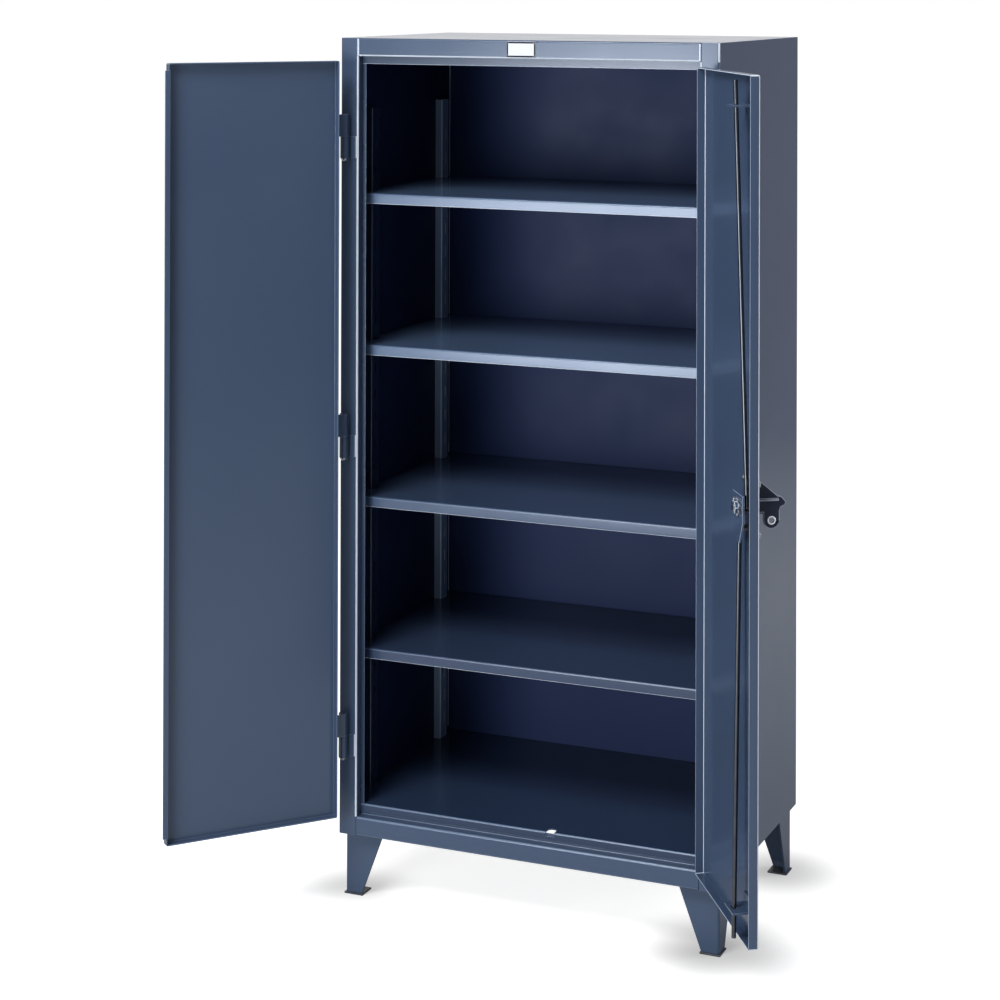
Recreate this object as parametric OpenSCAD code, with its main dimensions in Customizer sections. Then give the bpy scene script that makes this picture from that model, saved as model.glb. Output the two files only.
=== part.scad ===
// Two-door welded storage cabinet on four tapered legs.
// Millimetres. +Z is up, the front faces -Y, X = 0 is the middle of the case and Z = 0 is the floor.
// Y = 0 is half way between the back and the furthest point that the open doors reach.
// Door pieces are drawn in door coordinates: x runs from the hinge axis to the free edge, y goes
// inwards through the door and z is up. Latch pieces are drawn round the handle spindle.

/* [Case] */
// Width over the side panels
case_w = 914.4; // [860:1:1100]
// Depth from the front frame to the back panel
case_d = 609.6; // [560:1:760]
// Height from the floor to the top panel
case_h = 1981.2; // [1900:1:2100]
// Height of the case above the floor
leg_h = 147; // [130:1:180]
// Thickness of the case and door sheet
sheet = 2.7; // [2:0.1:3.2]
// Outside radius of the bends
bend_r = 5; // [4:0.5:7]

/* [Front frame] */
// Width of each stile face
stile_w = 45; // [42:1:56]
// Height of the header face
header_h = 42; // [38:1:60]
// Height of the sill face
sill_h = 43; // [38:1:60]
// Depth of the returns that line the door opening
return_d = 21.5; // [21.4:0.1:22.4]
// How far the door stops stand into the opening at the sides
stop_reveal = 9.5; // [9:0.5:16]
// How far the stop over the doors hangs below the header
header_reveal = 18; // [14:1:20]
// Width of the stop strips
stop_w = 24; // [21:1:30]

/* [Inside] */
// Height of the floor panel above the top of the sill
floor_rise = 24.6; // [20:0.2:32]
// Height of the lip along the front of the floor panel
floor_lip = 18; // [14:1:24]
// Setback of the shelves behind the front face
shelf_setback = 50; // [46:1:80]
// Height of the lips round a shelf
shelf_lip = 24; // [22:1:35]
// Clearance between a shelf and the case
shelf_gap = 1.5; // [1:0.5:4]
// Extra height of the space over the top shelf
top_room = 7.5; // [0:0.5:15]
// Width of the slotted uprights
upright_w = 40; // [34:1:50]
// Depth of the slotted uprights
upright_d = 18; // [14:1:24]
// Thickness of the uprights
upright_t = 2; // [1.5:0.1:3]
// Distance of the front uprights' middle from the front face
upright_front = 145; // [110:1:190]
// Distance of the rear uprights' middle from the back face
upright_rear = 68; // [40:1:110]
// Distance from the top of the uprights to the top of the case
upright_drop = 167; // [100:1:190]
// Width of an upright's slots
slot_w = 6; // [5:0.5:9]
// Height of an upright's slots
slot_h = 24; // [22:1:28]
// Slots between one shelf and the next
slots_per_shelf = 6; // [5:1:8]

/* [Legs] */
// Width of a leg's flanges where they leave the case
leg_top_w = 95; // [80:1:100]
// Width of a leg's flanges at the floor
leg_foot_w = 41; // [38:1:60]
// Thickness of the legs
leg_t = 5; // [4:0.5:8]
// Distance of the legs from the side faces
leg_in_x = 5.5; // [5:0.5:12]
// Thickness of the foot plates
foot_t = 4; // [3:0.5:8]
// How far the foot plates stand out past the legs
foot_out = 3; // [1:0.5:4]

/* [Doors] */
// How far the left door is open from closed, in degrees
left_open = 130; // [95:1:170]
// How far the right door is open from closed, in degrees
right_open = 123.2; // [95:0.1:170]
// Depth of the door pans
pan_d = 21; // [18:0.5:21]
// Running gap between a door and its stile
side_gap = 1.6; // [1.4:0.1:3]
// Gap between the two closed doors
middle_gap = 3; // [2.5:0.1:6]
// Gap above the closed doors
top_gap = 9; // [4:0.5:10]
// Gap below the closed doors
bottom_gap = 14; // [8:0.5:18]
// Width of the strip along the left door's free edge
astragal_w = 12; // [10:0.5:16]
// How far that strip reaches past the free edge
astragal_out = 9; // [6:0.5:9]
// Thickness of that strip
astragal_t = 3; // [2:0.5:3.5]
// How far that strip ends short of the floor panel and the stop over the doors
astragal_short = 7; // [4:0.5:40]
// Clearance between the strip and the closed right door
astragal_gap = 0.5; // [0.3:0.1:1]

/* [Hinges] */
// Distance of the hinge axis from the cabinet side
hinge_in = 18; // [14:0.5:22]
// Distance of the hinge axis in front of the frame
hinge_out = 15; // [13:0.5:20]
// Outside radius of the hinge barrels
barrel_r = 10.5; // [9:0.5:12]
// Radius of the hinge pins
pin_r = 6; // [4:0.5:6.5]
// Radial clearance round the hinge pins
pin_fit = 0.05; // [0.02:0.01:0.1]
// Height of one whole hinge
hinge_h = 102; // [80:1:130]
// Gap between the two halves of a hinge
hinge_gap = 0.5; // [0.3:0.1:1]
// Distance from one hinge to the next
hinge_pitch = 688; // [600:1:740]
// How far the pins stand out under the hinges
pin_tip = 7; // [4:0.5:12]
// Thickness of the hinge leaves
leaf_t = 4; // [3:0.5:5]
// Width of the leaf on the door
door_leaf_w = 52; // [40:1:70]
// Width of the leaf on the stile
stile_leaf_w = 22; // [18:1:26]

/* [Latch] */
// Distance of the handle spindle from the door's free edge
spindle_in = 56.7; // [54:0.1:60]
// Radius of the spindle
spindle_r = 8; // [7:0.5:9]
// Radial clearance round the spindle in its bush
spindle_fit = 0.05; // [0.02:0.01:0.1]
// Distance of the rod pins from the spindle
crank_r = 26; // [24:1:28]
// Thickness of the latch cam
cam_t = 4; // [3:0.5:6]
// Distance of the latch cam from the outer face of the door
cam_y = 25; // [24.6:0.1:28]
// Half of the cam's width
cam_half_w = 35; // [34:1:40]
// Height of the cam above the spindle
cam_up = 27; // [20:1:32]
// Length of the cam's tongue below the spindle
tongue = 70; // [68:1:78]
// Half of the tongue's width at its tip
tongue_half_w = 12; // [8:1:16]
// Radius of the lock rods
rod_r = 4.75; // [4:0.25:5.5]
// Distance of the rods from the outer face at the cam
rod_y_cam = 16.5; // [16:0.5:19]
// Distance of the rods from the outer face at the guides
rod_y_guide = 34; // [33.5:0.5:36]
// Distance of the upper rod's tip below the stop over the doors when drawn back
rod_tip_up = 3; // [2:0.5:12]
// Height of the lower rod's tip above the notched lip of the floor when drawn back
rod_tip_low = 4; // [2:0.5:12]
// Distance of the rod guides from the door's ends
guide_in = 61; // [50:1:90]
// Width of the rod guides
guide_w = 60; // [56:1:80]
// Thickness of the rod guides
guide_t = 4; // [3:0.5:6]
// Height of the guides' feet on the door
guide_foot = 25; // [18:1:35]
// Clearance round the rods in their guides
guide_gap = 1.3; // [1.2:0.1:2]
// Width of the notch in the floor for the lower rod
notch_w = 20; // [20:0.5:26]
// Width of the stiffeners along the right door's lock edge
stiffener_w = 36; // [30:1:44]
// Depth of those stiffeners
stiffener_d = 8; // [5:0.5:8]

/* [Handle] */
// Width of the plate behind the handle
plate_w = 84; // [80:1:92]
// Height of the plate behind the handle
plate_h = 126; // [120:1:150]
// Thickness of that plate
plate_t = 4; // [3:0.5:5]
// Length of the handle from the spindle
lever_len = 125; // [100:1:150]
// Width of the handle
lever_w = 22; // [18:1:26]
// Thickness of the handle
lever_t = 8; // [6:0.5:8]
// Distance of the handle from the door's outer face
lever_off = 19.5; // [18:0.5:19.5]
// Radius of the handle's hub
lever_hub_r = 16; // [14:0.5:17]
// Radius of the padlock eyes
eye_r = 6.5; // [5:0.25:6.5]
// Distance of the padlock eyes below the spindle when locked
eye_drop = 24; // [23:1:32]
// Distance of the padlock eyes from the door's outer face
eye_y = 34; // [34:0.1:40]
// Thickness of the padlock bracket
bracket_t = 6.4; // [5:0.1:8]
// How far the padlock bracket stands out from the door
bracket_out = 64; // [62:1:72]
// Radius of the rounded end round the eye
lug_r = 16.5; // [14:0.5:17]

/* [Nameplate] */
// Width of the blank nameplate
name_w = 70; // [50:1:90]
// Height of the blank nameplate
name_h = 35; // [25:1:37]
// Distance of the nameplate's middle to the left of the case's middle
name_left = 7; // [0:1:40]
// Thickness of the nameplate
name_t = 1; // [0.6:0.1:2]

/* [Hidden] */
$fn = 48;

// A cut runs past the faces it opens by this much
over = 1;

// Case
half_w = case_w / 2;
in_half = half_w - sheet;
axis_x = half_w - hinge_in;
free_edge = axis_x - middle_gap / 2;
open_reach = hinge_out + free_edge * sin(right_open) - (hinge_out + pan_d) * cos(right_open);
front_y = (open_reach - case_d) / 2;
back_y = front_y + case_d;
sill_top = leg_h + sill_h;
header_z = case_h - header_h;
floor_z = sill_top + floor_rise;
stop_y = front_y + return_d;
header_stop_z = header_z - header_reveal;
opening_half = half_w - stile_w;
inner_r = bend_r - sheet;
floor_bend_r = sheet + 1.3;
// The sill's upper return passes under the floor's lip and turns up behind it, where the legs meet it
sill_slip = 0.6;
leg_in_y = return_d + 2 * sheet + sill_slip;
sill_under = 15;
sill_up = floor_rise - 1;
leg_bend_r = leg_t + 1;

// Uprights and shelves
upright_face = in_half - upright_d;
upright_y = [front_y + upright_front, back_y - upright_rear];
upright_h = case_h - upright_drop - floor_z;
shelf_count = 4;
shelf_pitch = (case_h - sheet - floor_z - top_room) / (shelf_count + 1);
slot_pitch = shelf_pitch / slots_per_shelf;
shelf_half = in_half - shelf_gap;
shelf_y = [front_y + shelf_setback, back_y - sheet - shelf_gap];
clip_out = 22;
clip_w = 26;
clip_h = 18;
clip_tab = 4;
clip_gap = 1;

// Doors, in door coordinates
axis_y = front_y - hinge_out;
near_edge = stile_w - hinge_in + side_gap;
door_z = [sill_top + bottom_gap, header_z - top_gap];
door_mid = (door_z[0] + door_z[1]) / 2;
skin_y = hinge_out;
skin_in = skin_y + sheet;
lip_y = skin_y + pan_d;
right_pan_d = pan_d - astragal_gap;

// Hinges
leaf_gap = 0.5;
half_hinge = (hinge_h - hinge_gap) / 2;
hinge_z = [for (i = [-1:1]) door_mid + i * hinge_pitch];

// Latch, in door coordinates
spindle_x = free_edge - spindle_in;
cam_face = skin_y + cam_y;
rod_cam_y = skin_y + rod_y_cam;
rod_guide_y = skin_y + rod_y_guide;
guide_z = [door_z[0] + guide_in, door_z[1] - guide_in];
lever_y = skin_y - lever_off;
plate_y = skin_y - plate_t;
hub_gap = 0.5;
bolt_x = 33;
bolt_z = 50;
bolt_r = 4;
bolt_head_r = 6.5;
bolt_head_h = 4;
nut_h = 6;
bush_r = 14;
bush_flange_r = 20;
bush_flange_t = 3;
washer_t = 2;
cam_nut_h = 7;
// A fixed sliver of room where two pieces of one body share a round face
seat_gap = 0.05;
// The oval in each guide is longer than the rod is wide by what the crank's arc asks for
guide_sway = 0.235 * crank_r;
bracket_x = lever_hub_r + 2.5;
lever_lug_t = 4;
lever_lug_w = 28;

// A flat strip of sheet bent once at a right angle: legs a along +x and b along +y, bend outside at 0, 0.
module bent(a, b, t, r) {
    translate([r, 0]) square([a - r, t]);
    translate([0, r]) square([t, b - r]);
    translate([r, r]) intersection() {
        difference() {
            circle(r = r);
            circle(r = r - t);
        }
        translate([-r, -r]) square([r, r]);
    }
}

// A strip bent twice at right angles: a flange a, a web b and a flange c, like a staple open to +x.
module channel(a, b, c, t, r) {
    bent(a, b / 2, t, r);
    translate([0, b]) mirror([0, 1]) bent(c, b / 2, t, r);
}

// A box from one corner to the opposite one.
module span(low, high) {
    translate(low) cube(high - low);
}

// An outline drawn in x and z, given a thickness along +y from y0.
module upright_plate(y0, t) {
    translate([0, y0 + t, 0]) rotate([90, 0, 0]) linear_extrude(t) children();
}

// A rod along +y from y0.
module along_y(r, y0, len) {
    translate([0, y0, 0]) rotate([-90, 0, 0]) cylinder(r = r, h = len);
}

// Places for door pieces and for latch pieces, at rest.
module on_left_door() {
    translate([-axis_x, axis_y, 0]) rotate([0, 0, -left_open]) children();
}

module on_right_door() {
    mirror([1, 0, 0]) translate([-axis_x, axis_y, 0]) rotate([0, 0, -right_open]) children();
}

module on_latch() {
    on_right_door() translate([spindle_x, 0, door_mid]) children();
}

module flip_x(flip) {
    mirror([flip ? 1 : 0, 0, 0]) children();
}

// A side panel with its stile and the return that lines the opening, bent from one sheet.
module side_panel(flip) {
    panel_h = case_h - leg_h;
    flip_x(flip) translate([-half_w, front_y, leg_h]) difference() {
        linear_extrude(panel_h) {
            bent(stile_w / 2 + over, case_d, sheet, bend_r);
            translate([stile_w, 0]) mirror([1, 0]) bent(stile_w / 2 + over, return_d, sheet, bend_r);
        }
        span([stile_w - bend_r, sheet, panel_h - sheet], [stile_w + over, return_d + over, panel_h + over]);
    }
}

module left_side() color("slategray") side_panel(false);
module right_side() color("slategray") side_panel(true);

module back_panel() {
    color("slategray") span([-in_half, back_y - sheet, leg_h], [in_half, back_y, case_h - sheet]);
}

// The top sheet, folded down into the header and back into the return over the doors.
module top_panel() {
    color("slategray") {
        translate([-opening_half, front_y, case_h]) rotate([90, 0, 90]) linear_extrude(2 * opening_half) {
            mirror([0, 1]) bent(case_d / 2, header_h / 2 + over, sheet, bend_r);
            translate([0, -header_h]) bent(return_d, header_h / 2 + over, sheet, bend_r);
        }
        span([-in_half, front_y + return_d, case_h - sheet], [in_half, back_y, case_h]);
        for (flip = [false, true]) flip_x(flip) {
            span([opening_half - over, front_y + sheet, case_h - sheet],
                 [in_half - inner_r, front_y + return_d + over, case_h]);
            span([opening_half - over, front_y + bend_r, case_h - sheet],
                 [in_half, front_y + return_d + over, case_h]);
        }
    }
}

// The sill face with a stiffening return at the bottom. Its upper return turns up behind the floor's lip.
module sill_rail() {
    color("slategray") translate([-opening_half, front_y, leg_h]) rotate([90, 0, 90])
        linear_extrude(2 * opening_half) {
            channel(sill_under, sill_h, leg_in_y / 2 + over, sheet, bend_r);
            translate([leg_in_y, sill_h - sheet]) mirror([1, 0])
                bent(leg_in_y / 2, sill_up, sheet, floor_bend_r);
        }
}

module floor_panel() {
    notch_back = rod_y_guide + rod_r + 6;
    color("slategray") difference() {
        union() {
            translate([-opening_half, stop_y, floor_z]) rotate([90, 0, 90])
                linear_extrude(2 * opening_half) mirror([0, 1])
                    bent(case_d / 2, floor_lip, sheet, floor_bend_r);
            span([-in_half, stop_y + stop_w, floor_z - sheet], [in_half, back_y - sheet, floor_z]);
        }
        translate([axis_x - spindle_x, 0, floor_z - floor_lip / 2]) {
            span([-notch_w / 2, stop_y - over, 0],
                 [notch_w / 2, front_y + notch_back - notch_w / 2, floor_lip]);
            translate([0, front_y + notch_back - notch_w / 2, 0]) cylinder(r = notch_w / 2, h = floor_lip);
        }
    }
}

module side_stop(flip) {
    flip_x(flip) span([-opening_half + stop_reveal - stop_w, stop_y, floor_z],
                      [-opening_half + stop_reveal, stop_y + sheet, header_stop_z]);
}

module left_stop() color("slategray") side_stop(false);
module right_stop() color("slategray") side_stop(true);

module header_stop() {
    color("slategray") span([-opening_half - stop_w + stop_reveal, stop_y, header_stop_z],
                            [opening_half + stop_w - stop_reveal, stop_y + sheet, header_z + stop_w / 2]);
}

// A slotted channel, open towards the side panel.
module slotted_upright(flip, y) {
    slots = floor((upright_h - slot_h) / slot_pitch);
    flip_x(flip) translate([-in_half, y - upright_w / 2, floor_z]) difference() {
        linear_extrude(upright_h) translate([upright_d, 0]) mirror([1, 0])
            channel(upright_d, upright_w, upright_d, upright_t, upright_t + 1);
        for (i = [1:slots])
            translate([upright_d - upright_t - over, (upright_w - slot_w) / 2, i * slot_pitch - slot_h])
                cube([upright_t + 2 * over, slot_w, slot_h]);
    }
}

module upright_front_left() color("lightslategray") slotted_upright(false, upright_y[0]);
module upright_front_right() color("lightslategray") slotted_upright(true, upright_y[0]);
module upright_rear_left() color("lightslategray") slotted_upright(false, upright_y[1]);
module upright_rear_right() color("lightslategray") slotted_upright(true, upright_y[1]);

// The plan of a shelf: a rectangle with clipped front corners and notches round the uprights.
module shelf_plan(inset) {
    clip_c = 16;
    x = shelf_half - inset;
    y0 = shelf_y[0] + inset;
    y1 = shelf_y[1] - inset;
    difference() {
        polygon([[-x + clip_c, y0], [x - clip_c, y0], [x, y0 + clip_c], [x, y1], [-x, y1], [-x, y0 + clip_c]]);
        for (flip = [0, 1]) mirror([flip, 0]) for (y = upright_y)
            translate([-in_half, y - upright_w / 2 - shelf_gap - inset])
                square([upright_d + shelf_gap + inset, upright_w + 2 * (shelf_gap + inset)]);
    }
}

// Shelf n counts from the top. The sheet has a lip all round its edge.
module shelf(n) {
    top = floor_z + (shelf_count + 1 - n) * shelf_pitch;
    color("lightsteelblue") translate([0, 0, top - shelf_lip]) difference() {
        linear_extrude(shelf_lip) shelf_plan(0);
        translate([0, 0, -over]) linear_extrude(shelf_lip - sheet + over) shelf_plan(sheet);
        for (flip = [false, true]) flip_x(flip) for (y = upright_y)
            span([-upright_face - over, y - clip_w / 2 - clip_gap, -over],
                 [-upright_face + shelf_gap + sheet + over, y + clip_w / 2 + clip_gap, shelf_lip - sheet]);
    }
}

module shelf_1() shelf(1);
module shelf_2() shelf(2);
module shelf_3() shelf(3);
module shelf_4() shelf(4);

// Four clips hooked in the uprights under shelf n, each with a tab through a slot.
module shelf_clips(n) {
    top = floor_z + (shelf_count + 1 - n) * shelf_pitch - sheet;
    color("silver") for (flip = [false, true]) flip_x(flip) for (y = upright_y) translate([0, y, top]) {
        span([-upright_face, -clip_w / 2, -clip_h], [-upright_face + sheet, clip_w / 2, 0]);
        span([-upright_face, -clip_w / 2, -sheet], [-upright_face + clip_out, clip_w / 2, 0]);
        span([-upright_face - upright_t - clip_tab, -slot_w / 2 + 1, -clip_h],
             [-upright_face + over, slot_w / 2 - 1, -clip_h / 2]);
    }
}

module shelf_clips_1() shelf_clips(1);
module shelf_clips_2() shelf_clips(2);
module shelf_clips_3() shelf_clips(3);
module shelf_clips_4() shelf_clips(4);

// A leg bent from plate. Both flanges taper below the case, and its top meets the floor panel.
module leg(flip, back) {
    top = floor_z - sheet;
    taper = [[0, foot_t], [leg_foot_w, foot_t], [leg_top_w, leg_h], [leg_top_w, top], [0, top]];
    y0 = back ? back_y - leg_in_y : front_y + leg_in_y;
    color("slategray") flip_x(flip) translate([-half_w + leg_in_x, y0, 0]) mirror([0, back ? 1 : 0, 0])
        intersection() {
            linear_extrude(top) bent(leg_top_w, leg_top_w, leg_t, leg_bend_r);
            union() {
                upright_plate(0, leg_bend_r) polygon(taper);
                rotate([0, 0, 90]) mirror([0, 1, 0]) upright_plate(0, leg_bend_r) polygon(taper);
            }
        }
}

module leg_front_left() leg(false, false);
module leg_front_right() leg(true, false);
module leg_rear_left() leg(false, true);
module leg_rear_right() leg(true, true);

module foot(flip, back) {
    y0 = back ? back_y - leg_in_y : front_y + leg_in_y;
    side = leg_foot_w + 2 * foot_out;
    color("dimgray") flip_x(flip) translate([-half_w + leg_in_x, y0, 0]) mirror([0, back ? 1 : 0, 0])
        translate([-foot_out, -foot_out, 0]) cube([side, side, foot_t]);
}

module foot_front_left() foot(false, false);
module foot_front_right() foot(true, false);
module foot_rear_left() foot(false, true);
module foot_rear_right() foot(true, true);

// Lower hinge barrels with their leaves on a stile, drawn round the hinge axis.
module stile_knuckles(flip) {
    color("slategray") flip_x(flip) for (z = hinge_z) translate([-axis_x, axis_y, z - hinge_h / 2])
        difference() {
            union() {
                cylinder(r = barrel_r, h = half_hinge);
                span([0, hinge_out - leaf_t, 0], [stile_leaf_w, hinge_out, half_hinge]);
                span([-leaf_t, 0, 0], [leaf_t, hinge_out, half_hinge]);
            }
            translate([0, 0, -over]) cylinder(r = pin_r + pin_fit, h = half_hinge + 2 * over);
        }
}

module left_stile_knuckles() stile_knuckles(false);
module right_stile_knuckles() stile_knuckles(true);

// Hinge pins with a rounded collar under the lower barrel.
module hinge_pins(flip) {
    color("silver") flip_x(flip) for (z = hinge_z) translate([-axis_x, axis_y, z - hinge_h / 2]) {
        cylinder(r = pin_r, h = hinge_h - 1);
        translate([0, 0, -pin_tip]) cylinder(r1 = pin_r - 1, r2 = barrel_r - 2, h = pin_tip);
    }
}

module left_hinge_pins() hinge_pins(false);
module right_hinge_pins() hinge_pins(true);

module nameplate() {
    color("white") translate([-name_left, front_y, case_h - header_h / 2])
        span([-name_w / 2, -name_t, -name_h / 2], [name_w / 2, 0, name_h / 2]);
}

module nameplate_rivets() {
    rivet_in = 4;
    color("silver") for (x = [-1, 1], z = [-1, 1])
        translate([x * (name_w / 2 - rivet_in) - name_left, front_y - name_t,
                   z * (name_h / 2 - rivet_in) + case_h - header_h / 2])
            along_y(1.8, -0.8, 0.8);
}

// A door pan: the outer sheet and a flange round all four edges.
module door_pan(depth) {
    low = [near_edge, skin_y, door_z[0]];
    high = [free_edge, skin_y + depth, door_z[1]];
    wall = [sheet, sheet, sheet];
    difference() {
        span(low, high);
        span(low + wall, high - [sheet, -over, sheet]);
    }
}

module left_door_pan() color("slategray") on_left_door() door_pan(pan_d);

module right_door_pan() {
    color("slategray") on_right_door() difference() {
        door_pan(right_pan_d);
        translate([spindle_x, 0, door_mid]) {
            along_y(bush_r, skin_y - over, sheet + 2 * over);
            plate_bolt_places() along_y(bolt_r + 0.3, skin_y - over, sheet + 2 * over);
        }
    }
}

// Upper hinge barrels with their leaves on a door, in door coordinates.
module door_knuckles() {
    for (z = hinge_z) translate([0, 0, z + hinge_gap / 2]) difference() {
        union() {
            cylinder(r = barrel_r, h = half_hinge);
            span([0, 0, 0], [2 * leaf_t, skin_y - leaf_gap, half_hinge]);
            span([0, skin_y - leaf_gap - leaf_t, 0], [near_edge + leaf_gap, skin_y - leaf_gap, half_hinge]);
            span([near_edge, skin_y - leaf_gap - leaf_t, 0], [door_leaf_w, skin_y, half_hinge]);
        }
        translate([0, 0, -over]) cylinder(r = pin_r + pin_fit, h = half_hinge + 2 * over);
    }
}

module left_door_knuckles() color("slategray") on_left_door() door_knuckles();
module right_door_knuckles() color("slategray") on_right_door() door_knuckles();

// The strip on the left door that the right door closes over.
module astragal() {
    color("slategray") on_left_door()
        span([free_edge + astragal_out - astragal_w, lip_y, floor_z + astragal_short],
             [free_edge + astragal_out, lip_y + astragal_t, header_stop_z - astragal_short]);
}

// Low hat sections along the lock edge of the right door, above and below the handle.
module door_stiffeners() {
    foot_w = stiffener_w / 4;
    edge = free_edge - sheet - 5 - stiffener_w;
    ends = guide_foot + 10;
    middle = plate_h / 2 + 20;
    color("slategray") on_right_door()
        for (z = [[guide_z[0] + ends, door_mid - middle], [door_mid + middle, guide_z[1] - ends]])
            translate([edge, skin_in, z[0]]) linear_extrude(z[1] - z[0]) difference() {
                union() {
                    square([stiffener_w, sheet]);
                    translate([foot_w - sheet, 0]) square([stiffener_w - 2 * (foot_w - sheet), stiffener_d]);
                }
                translate([foot_w, -over])
                    square([stiffener_w - 2 * foot_w, stiffener_d - sheet + over]);
            }
}

// A rod guide: a foot on the door and a shelf with an oval hole, longer towards `sway`.
module rod_guide(z, up, sway) {
    hole_r = rod_r + guide_gap;
    color("slategray") on_right_door() translate([spindle_x, 0, z]) mirror([0, 0, up ? 0 : 1]) difference() {
        union() {
            span([-guide_w / 2, skin_in, -guide_foot], [guide_w / 2, skin_in + guide_t, 0]);
            span([-guide_w / 2, skin_in, -guide_t], [guide_w / 2, rod_guide_y + rod_r + 7, 0]);
        }
        translate([0, rod_guide_y, -guide_t - over]) linear_extrude(guide_t + 2 * over) {
            circle(r = hole_r);
            translate([sway, 0]) circle(r = hole_r);
            translate([min(0, sway), -hole_r]) square([abs(sway), 2 * hole_r]);
        }
    }
}

module upper_guide() rod_guide(guide_z[1], true, guide_sway);
module lower_guide() rod_guide(guide_z[0], false, -guide_sway);

module spindle_bush() {
    color("darkgray") on_latch() difference() {
        union() {
            along_y(bush_r - seat_gap, skin_y, sheet);
            along_y(bush_flange_r, skin_in, bush_flange_t);
        }
        along_y(spindle_r + spindle_fit, skin_y - over, sheet + bush_flange_t + 2 * over);
    }
}

module plate_bolt_places() {
    for (x = [-1, 1], z = [-1, 1]) translate([x * bolt_x, 0, z * bolt_z]) children();
}

module handle_plate() {
    corner = 8;
    color("dimgray") on_latch() difference() {
        upright_plate(plate_y, plate_t) {
            square([plate_w, plate_h - 2 * corner], center = true);
            square([plate_w - 2 * corner, plate_h], center = true);
            for (x = [-1, 1], z = [-1, 1])
                translate([x * (plate_w / 2 - corner), z * (plate_h / 2 - corner)]) circle(r = corner);
        }
        along_y(spindle_r + 1, plate_y - over, plate_t + 2 * over);
        plate_bolt_places() along_y(bolt_r + 0.3, plate_y - over, plate_t + 2 * over);
    }
}

// Four bolts through the plate and the door, with their nuts inside.
module plate_bolts() {
    nut_r = 7.5;
    color("silver") on_latch() plate_bolt_places() {
        along_y(bolt_head_r, plate_y - bolt_head_h, bolt_head_h);
        along_y(bolt_r, plate_y, plate_t + sheet + nut_h + 1);
        translate([0, skin_in, 0]) rotate([-90, 0, 0]) cylinder(r = nut_r, h = nut_h, $fn = 6);
    }
}

// The fixed bracket beside the handle: a gusset above, a nose and a rounded lug with the padlock eye.
module padlock_bracket() {
    gusset_top = 59.5;
    nose_z = 12;
    shelf_z = 19;
    shelf_reach = 47;
    outline = [
        [0, -8], [eye_y - lug_r, -8], [eye_y - lug_r, -eye_drop], [eye_y + lug_r, -eye_drop],
        [eye_y + lug_r, nose_z - 16], [eye_y + lug_r + 2, nose_z - 10], [bracket_out - 3, nose_z - 7],
        [bracket_out, nose_z], [bracket_out - 10, nose_z + 11], [shelf_reach, nose_z + 12], [0, gusset_top]
    ];
    color("dimgray") on_latch() translate([bracket_x, plate_y, 0]) mirror([0, 1, 0]) difference() {
        union() {
            rotate([90, 0, 90]) linear_extrude(bracket_t) {
                polygon([for (p = outline) [max(p[0] - plate_t, 0), p[1]]]);
                translate([eye_y - plate_t, -eye_drop]) circle(r = lug_r);
            }
            span([0, 0, shelf_z - 3], [bracket_t + 9, shelf_reach - plate_t, shelf_z]);
        }
        translate([-over, eye_y - plate_t, -eye_drop]) rotate([0, 90, 0])
            cylinder(r = eye_r, h = bracket_t + 2 * over);
    }
}

// The handle at rest points from the spindle towards the hinges. It turns a quarter turn down to lock.
module handle_lever() {
    end_r = lever_w / 2;
    lug_y = skin_y - eye_y;
    color("dimgray") on_latch() difference() {
        union() {
            along_y(lever_hub_r, lever_y - lever_t, plate_y - hub_gap - lever_y + lever_t);
            span([-lever_len + end_r, lever_y - lever_t, -end_r], [0, lever_y, end_r]);
            translate([-lever_len + end_r, 0, 0]) along_y(end_r, lever_y - lever_t, lever_t);
            translate([-eye_drop, 0, -end_r - lever_lug_t]) {
                span([-lever_lug_w / 2, lug_y, 0], [lever_lug_w / 2, lever_y, lever_lug_t]);
                translate([0, lug_y, 0]) cylinder(r = lever_lug_w / 2, h = lever_lug_t);
                span([-lever_lug_w / 2, lever_y - lever_t, 0], [lever_lug_w / 2, lever_y, lever_lug_t + over]);
            }
        }
        translate([-eye_drop, lug_y, -end_r - lever_lug_t - over])
            cylinder(r = eye_r, h = lever_lug_t + 2 * over);
    }
}

module spindle() {
    color("silver") on_latch()
        along_y(spindle_r, plate_y - hub_gap, cam_face + cam_t + washer_t + cam_nut_h + 2 - plate_y + hub_gap);
}

// The cam at rest: a rod pin hole at each side and the tongue pointing down.
module latch_cam() {
    color("gray") on_latch() difference() {
        upright_plate(cam_face, cam_t) polygon([
            [-cam_half_w, cam_up], [cam_half_w, cam_up], [cam_half_w, -cam_up],
            [tongue_half_w, -tongue], [-tongue_half_w, -tongue], [-cam_half_w, -cam_up]
        ]);
        along_y(spindle_r + seat_gap, cam_face - over, cam_t + 2 * over);
        for (x = [-1, 1]) translate([x * crank_r, 0, 0])
            along_y(rod_r + spindle_fit, cam_face - over, cam_t + 2 * over);
    }
}

module cam_washer() {
    color("silver") on_latch() difference() {
        along_y(bush_flange_r - 4, cam_face + cam_t, washer_t);
        along_y(spindle_r + seat_gap, cam_face, cam_t + washer_t + over);
    }
}

module cam_nut() {
    nut_y = cam_face + cam_t + washer_t;
    color("silver") on_latch() difference() {
        translate([0, nut_y, 0]) rotate([-90, 0, 0]) cylinder(r = 14, h = cam_nut_h, $fn = 6);
        along_y(spindle_r + seat_gap, nut_y - over, cam_nut_h + 2 * over);
    }
}

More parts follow.
